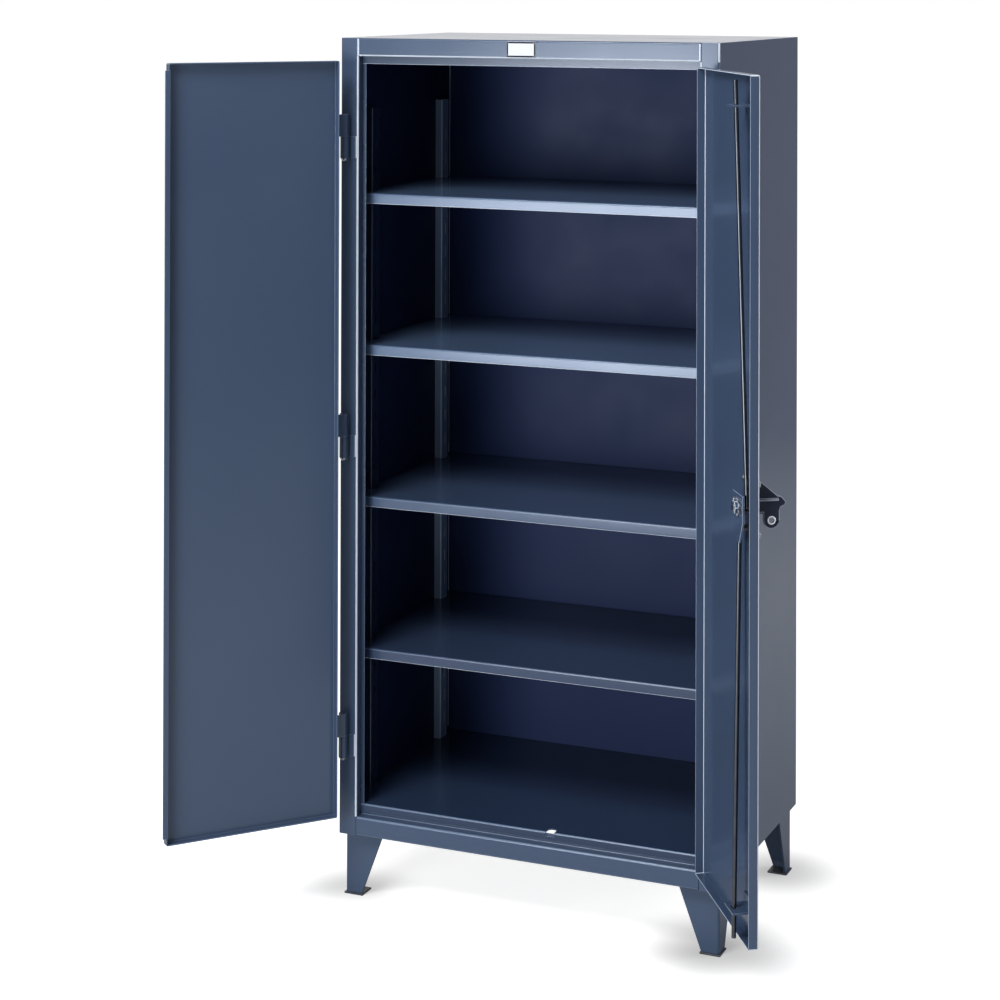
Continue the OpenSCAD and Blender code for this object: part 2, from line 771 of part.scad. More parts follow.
// A lock rod from its pin in the cam to its tip, leaning to pass through its guide.
module lock_rod(side, tip_z) {
    start = [side * crank_r, rod_cam_y, 0];
    guide = [0, rod_guide_y, (side > 0 ? guide_z[1] : guide_z[0]) - door_mid];
    run = guide - start;
    len = norm(run) * (tip_z - door_mid) / guide[2];
    pitch = acos(run[2] / norm(run));
    turn = atan2(run[1], run[0]);
    elbow_r = rod_r + 0.3;
    color("gainsboro") on_latch() translate(start) {
        rotate([0, pitch, turn]) cylinder(r = rod_r, h = len);
        sphere(r = elbow_r);
        along_y(rod_r, 0, cam_face + cam_t + 4 - rod_cam_y);
    }
}

module upper_rod() lock_rod(1, header_stop_z - rod_tip_up);
module lower_rod() lock_rod(-1, floor_z - floor_lip / 2 + rod_tip_low);

module rod_clip(side) {
    clip_r = rod_r + 4;
    color("silver") on_latch() translate([side * crank_r, 0, 0]) difference() {
        along_y(clip_r, cam_face + cam_t + 0.4, 1.6);
        along_y(rod_r + seat_gap, cam_face + cam_t, 4);
    }
}

module upper_rod_clip() rod_clip(1);
module lower_rod_clip() rod_clip(-1);

left_side();
right_side();
back_panel();
top_panel();
sill_rail();
floor_panel();
left_stop();
right_stop();
header_stop();
upright_front_left();
upright_front_right();
upright_rear_left();
upright_rear_right();
shelf_1();
shelf_2();
shelf_3();
shelf_4();
shelf_clips_1();
shelf_clips_2();
shelf_clips_3();
shelf_clips_4();
leg_front_left();
leg_front_right();
leg_rear_left();
leg_rear_right();
foot_front_left();
foot_front_right();
foot_rear_left();
foot_rear_right();
left_stile_knuckles();
right_stile_knuckles();
left_hinge_pins();
right_hinge_pins();
nameplate();
nameplate_rivets();
left_door_pan();
left_door_knuckles();
astragal();
right_door_pan();
right_door_knuckles();
door_stiffeners();
upper_guide();
lower_guide();
spindle_bush();
handle_plate();
plate_bolts();
padlock_bracket();
handle_lever();
spindle();
latch_cam();
cam_washer();
cam_nut();
upper_rod();
lower_rod();
upper_rod_clip();
lower_rod_clip();
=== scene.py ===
"""A welded steel storage cabinet with two open doors, dressed round its CAD frame."""
import math

import bmesh
import bpy
from mathutils import Matrix, Vector


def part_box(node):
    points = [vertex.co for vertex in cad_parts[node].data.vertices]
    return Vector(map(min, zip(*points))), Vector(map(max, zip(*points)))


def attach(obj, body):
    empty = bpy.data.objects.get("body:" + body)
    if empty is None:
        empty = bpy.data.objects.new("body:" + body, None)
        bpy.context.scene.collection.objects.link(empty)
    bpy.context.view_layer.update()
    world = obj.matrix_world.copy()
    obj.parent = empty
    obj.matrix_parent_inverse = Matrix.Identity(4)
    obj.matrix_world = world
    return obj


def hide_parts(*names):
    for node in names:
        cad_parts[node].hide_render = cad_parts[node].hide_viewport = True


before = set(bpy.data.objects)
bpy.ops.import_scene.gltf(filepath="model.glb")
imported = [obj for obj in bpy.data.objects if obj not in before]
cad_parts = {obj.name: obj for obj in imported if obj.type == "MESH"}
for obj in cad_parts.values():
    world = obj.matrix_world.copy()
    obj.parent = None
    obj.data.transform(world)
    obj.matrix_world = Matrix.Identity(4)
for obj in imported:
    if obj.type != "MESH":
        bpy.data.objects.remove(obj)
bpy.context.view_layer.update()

# ---------------------------------------------------------------------------------------------
# Camera: it stands to the right of the cabinet, a little above its top, and looks level, with
# the lens shifted down, so that the uprights stay upright. Angles are in radians.
# ---------------------------------------------------------------------------------------------
bpy.ops.object.select_all(action="DESELECT")

front_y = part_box("sill_rail")[0][1]
stand_right, stand_back, stand_high = 2.03482, 4.93153, 2.11951
turn_left, look_up, tilt = 0.40533, 0.00382, 0.00282
across = Vector((math.cos(turn_left), math.sin(turn_left), 0))
ahead = Vector((-math.sin(turn_left) * math.cos(look_up), math.cos(turn_left) * math.cos(look_up),
                math.sin(look_up)))
over_head = across.cross(ahead)
right_hand = across * math.cos(tilt) + over_head * math.sin(tilt)
upward = over_head * math.cos(tilt) - across * math.sin(tilt)
bpy.ops.object.camera_add(location=(stand_right, front_y - stand_back, stand_high))
camera = bpy.context.object
camera.rotation_euler = Matrix((right_hand, upward, -ahead)).transposed().to_euler()
camera.data.sensor_width = 36
camera.data.lens = 85.92
camera.data.shift_x = 0.00914
camera.data.shift_y = -0.53088
camera.data.clip_end = 200
bpy.context.scene.camera = camera
bpy.context.scene.view_settings.view_transform = "Standard"

# ---------------------------------------------------------------------------------------------
# Floor and light: a white paper floor in a white surround, two round lamps low in front, a soft
# box above them, a strip on the right that draws bright lines along the folds, and a weak fill.
# ---------------------------------------------------------------------------------------------


def linear(code):
    """An sRGB hex colour as the linear colour that a shader takes."""
    parts = [int(code[i:i + 2], 16) / 255 for i in (1, 3, 5)]
    return [c / 12.92 if c <= 0.04045 else ((c + 0.055) / 1.055) ** 2.4 for c in parts] + [1]


def add(tree, kind, links=None, **settings):
    """Adds a node to a tree. Settings are its properties or its sockets' values, by name or number,
    and links give a socket the output that feeds it."""
    node = tree.nodes.new("ShaderNode" + kind)
    sockets = settings.pop("sockets", {})
    for name, value in settings.items():
        setattr(node, name, value)
    for name, value in sockets.items():
        node.inputs[name].default_value = value
    for name, source in (links or {}).items():
        tree.links.new(source, node.inputs[name])
    return node


def new_material(name):
    """An empty material and its node tree."""
    material = bpy.data.materials.new(name)
    material.use_nodes = True
    material.node_tree.nodes.clear()
    return material, material.node_tree


# The surround lights the cabinet weakly, and shows white to the camera and in reflections.
world = bpy.context.scene.world or bpy.data.worlds.new("studio")
bpy.context.scene.world = world
world.use_nodes = True
sky = world.node_tree
sky.nodes.clear()
path = add(sky, "LightPath")
through = add(sky, "Math", {0: path.outputs["Is Glossy Ray"], 1: path.outputs["Is Transmission Ray"]},
              operation="MAXIMUM")
seen = add(sky, "Math", {0: path.outputs["Is Camera Ray"], 1: through.outputs[0]}, operation="MAXIMUM")
lit = add(sky, "Background", sockets={"Color": linear("#FFFFFF"), "Strength": 0.28})
white = add(sky, "Background", sockets={"Color": linear("#FFFFFF"), "Strength": 1.0})
either = add(sky, "MixShader", {0: seen.outputs[0], 1: lit.outputs[0], 2: white.outputs[0]})
add(sky, "OutputWorld", {"Surface": either.outputs[0]})

# Matt white paper. The camera sees it brighter than it lights the cabinet, with the shadow left in,
# and a painted shadow greys the paper round each foot, most of all at the front on the right, under
# the open door.
floor_paper, tree = new_material("white paper floor")
path = add(tree, "LightPath")
place = add(tree, "TexCoord").outputs["Object"]
shade_start = 0.02
painted_foot_shadow = None
for corner, shade_reach, light_left in (("front_left", 0.18, 0.62), ("front_right", 0.26, 0.38),
                                        ("rear_left", 0.16, 0.7), ("rear_right", 0.2, 0.55)):
    low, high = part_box("foot_" + corner)
    reach = add(tree, "VectorMath", {0: place}, operation="DISTANCE", sockets={1: (low + high) / 2})
    round_foot = add(tree, "MapRange", {"Value": reach.outputs["Value"]}, interpolation_type="SMOOTHSTEP",
                     sockets={"From Min": shade_start, "From Max": shade_reach,
                              "To Min": light_left, "To Max": 1.0})
    painted_foot_shadow = round_foot.outputs["Result"] if painted_foot_shadow is None else add(
        tree, "Math", {0: painted_foot_shadow, 1: round_foot.outputs["Result"]}, operation="MINIMUM").outputs[0]
# The painted shadow: dark grey at each foot, fading out to the white of the paper.
paper_with_painted_shadow = add(tree, "MixRGB", {"Fac": painted_foot_shadow},
            sockets={"Color1": linear("#2C2827"), "Color2": linear("#E8E8E8")})
paper = add(tree, "BsdfDiffuse", {"Color": paper_with_painted_shadow.outputs["Color"]})
# The glow that the camera sees is cut by the painted shadow as well.
seen_glow = add(tree, "Math", {0: path.outputs["Is Camera Ray"], 1: painted_foot_shadow}, operation="MULTIPLY")
glow = add(tree, "Emission", {"Strength": seen_glow.outputs[0]}, sockets={"Color": linear("#E7E7E7")})
both = add(tree, "AddShader", {0: paper.outputs[0], 1: glow.outputs[0]})
add(tree, "OutputMaterial", {"Surface": both.outputs[0]})

bpy.ops.mesh.primitive_plane_add(size=400, location=(0, 0, 0))
studio_floor = bpy.context.object
studio_floor.name = "studio_floor"
studio_floor.data.materials.append(floor_paper)


def soft_box(name, place, aim, size, watts, shape="RECTANGLE", mirrored=True, lights=True):
    """A flat lamp turned to its aim. Unless mirrored it shows in no reflection, and unless it
    lights it shows in reflections alone."""
    bpy.ops.object.light_add(type="AREA", location=place)
    lamp = bpy.context.object
    lamp.name = name
    lamp.data.shape = shape
    lamp.data.size, lamp.data.size_y = size
    lamp.data.energy = watts
    lamp.rotation_euler = (Vector(aim) - Vector(place)).to_track_quat("-Z", "Y").to_euler()
    lamp.visible_glossy = mirrored
    lamp.visible_diffuse = lights


# Each lamp: its place, its aim, its two sizes in metres and its power in watts.
soft_box("key_light", (-1.2, -5.1, 1.2), (0, 0, 1.1), (2.0, 2.0), 120, shape="DISK", mirrored=False)
soft_box("umbrella", (-1.5, -5.15, 0.92), (0, 0, 1.1), (2.0, 2.0), 136, shape="DISK", lights=False)
soft_box("top_light", (-0.9, -3.7, 5.2), (0, -0.1, 1.0), (2.4, 2.0), 260)
soft_box("edge_strip", (5.5, 0.4, 1.2), (0.6, -0.2, 1.0), (0.5, 3.2), 150, lights=False)
soft_box("fill_light", (4.2, 2.2, 2.0), (0.4, 0.2, 0.9), (2.4, 2.4), 85, mirrored=False)

# A grey board behind the cabinet on the right shows only in the gloss of its side.
board_grey, tree = new_material("grey board")
board_face = add(tree, "Emission", sockets={"Color": linear("#8E8A90"), "Strength": 1.0})
add(tree, "OutputMaterial", {"Surface": board_face.outputs[0]})
bpy.ops.mesh.primitive_plane_add(size=5, location=(2.8, 5.0, 2.4),
                                 rotation=(math.radians(90), 0, math.radians(-17)))
grey_board = bpy.context.object
grey_board.name = "grey_board"
grey_board.data.materials.append(board_grey)
grey_board.visible_camera = grey_board.visible_diffuse = grey_board.visible_shadow = False

# ---------------------------------------------------------------------------------------------
# The case: 12 gauge steel sheet, folded at the front into the frame of the door opening, with
# the sheets welded together and the seams ground. All of it is sprayed and baked blue-grey.
# ---------------------------------------------------------------------------------------------


def patches(millimetres):
    """The scale of a noise texture with patches of this width."""
    return 1000 / millimetres


def enamel(name, colour, shade, roughness, wave_mm=0.25, shine=0.5):
    """Baked alkyd enamel on sheet steel: a hard gloss with cold reflections over a slow drift between
    two tones, with smears of dust in the gloss, on sheet that is never quite flat."""
    spray_pass, dust_smear, sheet_wave = patches(455), patches(143), patches(385)
    material, tree = new_material(name)
    place = add(tree, "TexCoord").outputs["Object"]
    drift = add(tree, "TexNoise", {"Vector": place},
                sockets={"Scale": spray_pass, "Detail": 2.0, "Roughness": 0.5})
    tone = add(tree, "MixRGB", {"Fac": drift.outputs["Fac"]},
               sockets={"Color1": linear(colour), "Color2": linear(shade)})
    smear = add(tree, "TexNoise", {"Vector": place},
                sockets={"Scale": dust_smear, "Detail": 3.0, "Roughness": 0.55})
    gloss = add(tree, "MapRange", {"Value": smear.outputs["Fac"]},
                sockets={"To Min": roughness * 0.7, "To Max": roughness * 1.3})
    sheet = add(tree, "TexNoise", {"Vector": place}, sockets={"Scale": sheet_wave, "Detail": 1.0})
    wave = add(tree, "Bump", {"Height": sheet.outputs["Fac"]},
               sockets={"Strength": 1.0, "Distance": wave_mm / 1000})
    paint_film = add(tree, "BsdfPrincipled",
                     {"Base Color": tone.outputs["Color"], "Roughness": gloss.outputs["Result"],
                      "Normal": wave.outputs["Normal"]},
                     sockets={"Specular IOR Level": shine, "Specular Tint": linear("#EAF3FF")})
    add(tree, "OutputMaterial", {"Surface": paint_film.outputs[0]})
    return material


# The coat of the whole cabinet, dark and glossy.
case_enamel = enamel("blue-grey baked enamel", "#3D4C64", "#36455D", 0.2)
# On folds and edges a lighter enamel is painted as the highlight they catch, partly also thin, rubbed
# paint.
fold_highlight_enamel = enamel("painted highlight on folds", "#E6EDF6", "#A5B3C9", 0.2)
edge_highlight_enamel = enamel("painted highlight on ground edges", "#61728C", "#4A5B74", 0.2)
# Deep inside, a darker navy is painted as the shade there, and the enamel stays duller.
back_shade_enamel = enamel("dull navy enamel of the back with painted shade", "#2D3B62", "#243057", 0.42, shine=0.12)
wall_shade_enamel = enamel("painted shade on the inner walls", "#1A2444", "#141C38", 0.42, shine=0.12)
# The door stops and the floor are painted darker, as painted shade.
stop_shade_enamel = enamel("painted shade on the door stops", "#24334B", "#1E2C42", 0.26)
floor_shade_enamel = enamel("painted shade on the cabinet floor", "#2A3952", "#222F47", 0.2)


def alone(piece):
    """Selects one object and nothing else."""
    bpy.ops.object.select_all(action="DESELECT")
    piece.select_set(True)
    bpy.context.view_layer.objects.active = piece


def coated(piece, *materials):
    """Gives a piece its materials, the one for its broad faces first."""
    piece.data.materials.clear()
    for material in materials:
        piece.data.materials.append(material)


def copy_of(node, name, *materials):
    """A copy of a solid of the frame, with its seams merged, ready to be finished."""
    piece = bpy.data.objects.new(name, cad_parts[node].data.copy())
    bpy.context.scene.collection.objects.link(piece)
    coated(piece, *materials)
    alone(piece)
    bpy.ops.mesh.customdata_custom_splitnormals_clear()
    bpy.ops.object.mode_set(mode="EDIT")
    bpy.ops.mesh.select_all(action="SELECT")
    bpy.ops.mesh.remove_doubles(threshold=0.00001)
    bpy.ops.mesh.dissolve_limited(angle_limit=math.radians(1))
    bpy.ops.object.mode_set(mode="OBJECT")
    return piece


def round_edges(piece, millimetres, segments=2, angle=40, clamp=False):
    """Breaks the sharp edges, as grinding and a coat of paint do."""
    alone(piece)
    edge = piece.modifiers.new("rounded edges", "BEVEL")
    edge.width = millimetres / 1000
    edge.segments = segments
    edge.limit_method = "ANGLE"
    edge.angle_limit = math.radians(angle)
    edge.use_clamp_overlap = clamp
    # The rounded edges take the last material, on most pieces a painted highlight.
    edge.material = len(piece.data.materials) - 1
    bpy.ops.object.modifier_apply(modifier=edge.name)


def paint_fold_highlights(piece, flat=0.94, where=None):
    """Gives the middle of each fold the painted fold highlight of slot 1: the faces that look along no
    axis.
    """
    for face in piece.data.polygons:
        if max(abs(part) for part in face.normal) < flat and (where is None or where(face.center)):
            face.material_index = 1


def keep_inside(piece, node):
    """Holds the ground edges inside the outline of the sheet."""
    low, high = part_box(node)
    for vertex in piece.data.vertices:
        vertex.co = [min(max(vertex.co[i], low[i]), high[i]) for i in range(3)]


def paint(material, *nodes):
    """Gives solids of the frame the material of the piece that stands for them."""
    for node in nodes:
        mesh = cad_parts[node].data
        mesh.materials.clear()
        mesh.materials.append(material)


def finished(piece, body, slot, *nodes):
    """Puts a piece's place into its mesh, keeps its flat faces level in the shading, and fixes it to
    its body, in the place of its solids."""
    alone(piece)
    bpy.ops.object.transform_apply(location=True, rotation=True, scale=True)
    bpy.ops.object.shade_smooth_by_angle(angle=math.radians(32))
    level = piece.modifiers.new("level faces", "WEIGHTED_NORMAL")
    level.keep_sharp = True
    bpy.ops.object.modifier_apply(modifier=level.name)
    paint(piece.data.materials[0], *nodes)
    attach(piece, body)
    if nodes:
        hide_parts(*nodes)


# The folds get a painted highlight, partly also wear where hands pass. The outer fold of the left
# side and the one along the top keep the plain enamel.
case_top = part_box("top_panel")[1][2]
header_height, sill_head = 0.042, 0.19
header_foot = case_top - header_height
stile_fold, header_fold = 0.44, case_top - 0.02
fold_highlight_where = {"left_side": lambda place: place.x > -stile_fold and place.z > sill_head,
        "right_side": lambda place: (place.x > stile_fold and place.z > header_foot) or (
            place.x < stile_fold and sill_head < place.z < header_foot),
        "top_panel": lambda place: place.z < header_fold}
# The faces that look into the cabinet behind the frame of its opening get painted shade: their axis and
# their way.
painted_shade_faces = {"left_side": (0, 1), "right_side": (0, -1), "back_panel": (1, -1), "top_panel": (2, -1)}
frame_depth = 0.03
shaded_face_enamels = {"left_stop": stop_shade_enamel, "right_stop": stop_shade_enamel, "floor_panel": floor_shade_enamel}
fold_highlight_enamels = {"floor_panel": edge_highlight_enamel, "sill_rail": edge_highlight_enamel}
for node in ("left_side", "right_side", "back_panel", "top_panel", "sill_rail", "floor_panel",
             "left_stop", "right_stop", "header_stop"):
    sheet_piece = copy_of(node, node + "_sheet", shaded_face_enamels.get(node, case_enamel),
                          fold_highlight_enamels.get(node, fold_highlight_enamel),
                          back_shade_enamel if node == "back_panel" else wall_shade_enamel,
                          fold_highlight_enamel if node == "header_stop" else edge_highlight_enamel)
    if node in ("left_side", "right_side"):
        bpy.ops.object.mode_set(mode="EDIT")
        for height in (sill_head, header_foot):
            bpy.ops.mesh.select_all(action="SELECT")
            bpy.ops.mesh.bisect(plane_co=(0, 0, height), plane_no=(0, 0, 1))
        bpy.ops.object.mode_set(mode="OBJECT")
    paint_fold_highlights(sheet_piece, where=fold_highlight_where.get(node))
    if node in painted_shade_faces:
        axis, way = painted_shade_faces[node]
        for face in sheet_piece.data.polygons:
            if face.normal[axis] * way > 0.98 and face.center.y > front_y + frame_depth:
                face.material_index = 2
    round_edges(sheet_piece, 0.6)
    keep_inside(sheet_piece, node)
    finished(sheet_piece, "case", "case_paint", node)

# ---------------------------------------------------------------------------------------------
# Weld beads: the seams between header and stiles are welded from outside and left as low ridges,
# and a thin run closes each back corner. The seams of the sill are ground flush.
# ---------------------------------------------------------------------------------------------


def set_at(piece, places):
    """A piece made at the first place, and copies of it with their own meshes at the others."""
    parts = [piece]
    for place in places[1:]:
        twin = bpy.data.objects.new(piece.name, piece.data.copy())
        bpy.context.scene.collection.objects.link(twin)
        twin.matrix_world = Matrix.Translation(Vector(place) - Vector(places[0])) @ piece.matrix_world
        parts.append(twin)
    return parts


def weld_runs(places, length, radius_mm, step_mm=None, fineness=2):
    """Upright runs of overlapping drops, as a welding torch lays them. One drop, pulled out of round,
    is repeated up the run, and the run is copied from the first place to the others."""
    radius = radius_mm / 1000
    step = step_mm / 1000 if step_mm else radius * 0.9
    count = max(1, round(length / step))
    bpy.ops.object.select_all(action="DESELECT")
    bpy.ops.mesh.primitive_ico_sphere_add(subdivisions=fineness, radius=radius, location=places[0])
    run = bpy.context.object
    bpy.ops.object.mode_set(mode="EDIT")
    bpy.ops.mesh.select_all(action="SELECT")
    bpy.ops.transform.vertex_random(offset=radius * 0.08, seed=7)
    bpy.ops.object.mode_set(mode="OBJECT")
    row = run.modifiers.new("row of drops", "ARRAY")
    row.use_relative_offset = False
    row.use_constant_offset = True
    row.constant_offset_displace = (0, 0, length / count)
    row.count = count + 1
    bpy.ops.object.modifier_apply(modifier=row.name)
    return set_at(run, places)


def joined(name, parts):
    """Joins several parts of one piece."""
    bpy.ops.object.select_all(action="DESELECT")
    for part in parts:
        part.select_set(True)
    bpy.context.view_layer.objects.active = parts[0]
    bpy.ops.object.join()
    parts[0].name = name
    return parts[0]


stile_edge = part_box("sill_rail")[1][0]
seam_x, seam_y = stile_edge + 0.0002, front_y + 0.0009
seam_foot, seam_head = header_foot + 0.004, case_top - 0.005
seam_places = [(side * seam_x, seam_y, seam_foot) for side in (-1, 1)]
frame_welds = joined("frame_welds", weld_runs(seam_places, seam_head - seam_foot, 2.3, step_mm=3.8))
# The beads take the near-white painted highlight.
coated(frame_welds, fold_highlight_enamel)
finished(frame_welds, "case", "case_paint")

back_corner, floor_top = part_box("back_panel")[1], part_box("floor_panel")[1][2]
corner_x, corner_y = back_corner.x - 0.0003, back_corner.y - 0.003
run_foot = floor_top + 0.0074
corner_places = [(side * corner_x, corner_y, run_foot) for side in (-1, 1)]
corner_runs = joined("corner_runs", weld_runs(corner_places, seam_head - run_foot, 1.7, step_mm=2.2,
                                              fineness=1))
# These runs take the near-white painted highlight too.
coated(corner_runs, fold_highlight_enamel)
finished(corner_runs, "case", "case_paint")

# ---------------------------------------------------------------------------------------------
# Slotted uprights: rolled channels welded to the side panels. The clips hooked in their slots
# are bent and zinc plated.
# ---------------------------------------------------------------------------------------------
# The front uprights are painted dark navy as painted shade and look almost black, with a painted
# highlight on their edges. The rear ones are painted pale as painted light.
front_upright_shade = enamel("painted shade on the front uprights", "#161F35", "#11182B", 0.3)
front_upright_edge_highlight = enamel("painted highlight on the front upright edges", "#34435C", "#2A384F", 0.26)
rear_upright_painted_light = enamel("painted light on the rear uprights", "#8CA3C2", "#768DAE", 0.22)
for node in ("upright_front_left", "upright_front_right", "upright_rear_left", "upright_rear_right"):
    rear = "rear" in node
    upright = copy_of(node, node + "_channel", rear_upright_painted_light if rear else front_upright_shade,
                      fold_highlight_enamel if rear else front_upright_edge_highlight)
    paint_fold_highlights(upright)
    round_edges(upright, 0.7 if rear else 0.4, angle=50)
    finished(upright, "case", "case_paint", node)


def bare_steel(name, colour, dark, roughness, grain_scale=(1, 1, 1), metal=1.0):
    """Steel without paint, plated, drawn or rubbed bright: a metal that clouds as it ages, with fine
    lines along it. The lines are drawn much coarser than real ones, so that they show."""
    age_clouds, drawing_lines = patches(26.3), patches(3.333)
    material, tree = new_material(name)
    place = add(tree, "TexCoord").outputs["Object"]
    cloud = add(tree, "TexNoise", {"Vector": place},
                sockets={"Scale": age_clouds, "Detail": 4.0, "Roughness": 0.6})
    tone = add(tree, "MixRGB", {"Fac": cloud.outputs["Fac"]},
               sockets={"Color1": linear(colour), "Color2": linear(dark)})
    stretch = add(tree, "Mapping", {"Vector": place}, sockets={"Scale": grain_scale})
    grain = add(tree, "TexNoise", {"Vector": stretch.outputs[0]},
                sockets={"Scale": drawing_lines, "Detail": 2.0})
    gloss = add(tree, "MapRange", {"Value": grain.outputs["Fac"]},
                sockets={"From Min": 0.3, "From Max": 0.7,
                         "To Min": roughness * 0.8, "To Max": roughness * 1.3})
    lines = add(tree, "Bump", {"Height": grain.outputs["Fac"]},
                sockets={"Strength": 0.25, "Distance": 0.00005})
    surface = add(tree, "BsdfPrincipled",
                  {"Base Color": tone.outputs["Color"], "Roughness": gloss.outputs["Result"],
                   "Normal": lines.outputs["Normal"]}, sockets={"Metallic": metal})
    add(tree, "OutputMaterial", {"Surface": surface.outputs[0]})
    return material


def dressed(node, name, body, slot, rounding_mm, *materials, **rounding):
    """A solid of the frame with its edges rounded and its finish on, in the place of the bare one."""
    piece = copy_of(node, name, *materials)
    round_edges(piece, rounding_mm, **rounding)
    finished(piece, body, slot, node)


# Zinc plate that has aged to a soft grey shine.
zinc = bare_steel("zinc plated steel", "#A9ADB3", "#71767E", 0.26)
for number in range(1, 5):
    node = f"shelf_clips_{number}"
    dressed(node, node + "_bent", "case", "bright_steel", 0.5, zinc)

# ---------------------------------------------------------------------------------------------
# Shelves: one steel sheet each, folded down at all four edges with a rounded fold, and hung on the
# clips. The two upper ones are painted lighter than the two lower ones, as painted light that falls
# off downward.
# ---------------------------------------------------------------------------------------------


def pick(piece, kind, wanted):
    """Opens a piece for editing with only the wanted edges or faces selected."""
    alone(piece)
    bpy.ops.object.mode_set(mode="EDIT")
    bpy.context.tool_settings.mesh_select_mode = (False, kind == "edges", kind == "faces")
    bpy.ops.mesh.select_all(action="DESELECT")
    mesh = bmesh.from_edit_mesh(piece.data)
    for part in getattr(mesh, kind):
        part.select = wanted(part)
    bmesh.update_edit_mesh(piece.data)


def outer_fold(edge):
    """Whether an edge is a sharp one along the top of the shelf in hand."""
    at_top = all(abs(corner.co.z - shelf_top) < 0.0001 for corner in edge.verts)
    return at_top and len(edge.link_faces) == 2 and edge.calc_face_angle(0) > 1


# Lighter tones above and darker below, as painted light and shade.
shelf_tones_shaded_by_height = [("#4A5D79", "#41536E"), ("#4A5D79", "#41536E"),
               ("#3B4B65", "#34435C"), ("#303E57", "#2A374F")]
# The upward slope of the faces low on the fold, which get a painted highlight.
slope_low, slope_high = 0.15, 0.4
for number, (tone_light, tone_dark) in enumerate(shelf_tones_shaded_by_height, 1):
    shelf_height_shaded_enamel = enamel(f"height-shaded enamel of shelf {number}", tone_light, tone_dark, 0.2)
    node = f"shelf_{number}"
    shelf = copy_of(node, node + "_sheet", shelf_height_shaded_enamel, edge_highlight_enamel, fold_highlight_enamel)
    shelf_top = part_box(node)[1][2]
    pick(shelf, "edges", outer_fold)
    bpy.ops.mesh.bevel(offset=0.0045, segments=6, profile=0.5, affect="EDGES", clamp_overlap=False)
    bpy.ops.object.mode_set(mode="OBJECT")
    for face in shelf.data.polygons:
        if slope_low < face.normal.z < slope_high:
            face.material_index = 1
    round_edges(shelf, 0.9, angle=60)
    finished(shelf, "case", "shelf_paint", node)

# ---------------------------------------------------------------------------------------------
# Legs: bent steel plate, tapered to the floor and welded up under the case in its enamel. The
# feet are plain squares of flame-cut plate, welded on and brushed with black paint.
# ---------------------------------------------------------------------------------------------
# The brushed paint is dull and scuffed to grey.
foot_scuffs = patches(16.67)
foot_metal, tree = new_material("dark painted foot plate")
place = add(tree, "TexCoord").outputs["Object"]
scuff = add(tree, "TexNoise", {"Vector": place},
            sockets={"Scale": foot_scuffs, "Detail": 6.0, "Roughness": 0.7})
tone = add(tree, "ValToRGB", {"Fac": scuff.outputs["Fac"]})
tone.color_ramp.elements[0].position = 0.35
tone.color_ramp.elements[0].color = linear("#1C1F26")
tone.color_ramp.elements[1].position = 0.75
tone.color_ramp.elements[1].color = linear("#3B3F46")
gloss = add(tree, "MapRange", {"Value": scuff.outputs["Fac"]}, sockets={"To Min": 0.35, "To Max": 0.6})
dents = add(tree, "Bump", {"Height": scuff.outputs["Fac"]}, sockets={"Strength": 0.4, "Distance": 0.0002})
brushed_paint = add(tree, "BsdfPrincipled",
                    {"Base Color": tone.outputs["Color"], "Roughness": gloss.outputs["Result"],
                     "Normal": dents.outputs["Normal"]})
add(tree, "OutputMaterial", {"Surface": brushed_paint.outputs[0]})

for corner in ("front_left", "front_right", "rear_left", "rear_right"):
    dressed("leg_" + corner, f"leg_{corner}_plate", "case", "case_paint", 0.8, case_enamel)
    dressed("foot_" + corner, f"foot_{corner}_pad", "case", "foot_steel", 0.9, foot_metal)

# ---------------------------------------------------------------------------------------------
# Hinges: turned steel barrels, the lower half of each welded to the stile by its leaf and the upper
# half to the door. A loose zinc plated pin drops through both and ends in a domed tip below.
# ---------------------------------------------------------------------------------------------
half_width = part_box("right_side")[1][0]
hinge_in, hinge_out = 0.018, 0.015
axis_x, axis_y = half_width - hinge_in, front_y - hinge_out
door_foot, door_head = (corner.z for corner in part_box("left_door_pan"))
door_mid = (door_foot + door_head) / 2
hinge_height, hinge_pitch = 0.102, 0.688
hinge_feet = [door_mid + i * hinge_pitch - hinge_height / 2 for i in (-1, 0, 1)]
pin_radius, pin_length = 0.006, 0.1
# The collar and the tip under the pin: the drop to each ring, and its size beside the one before.
tip_rings = ((0.0, 1.4), (0.0025, 1.0), (0.0022, 0.84), (0.0014, 0.66))
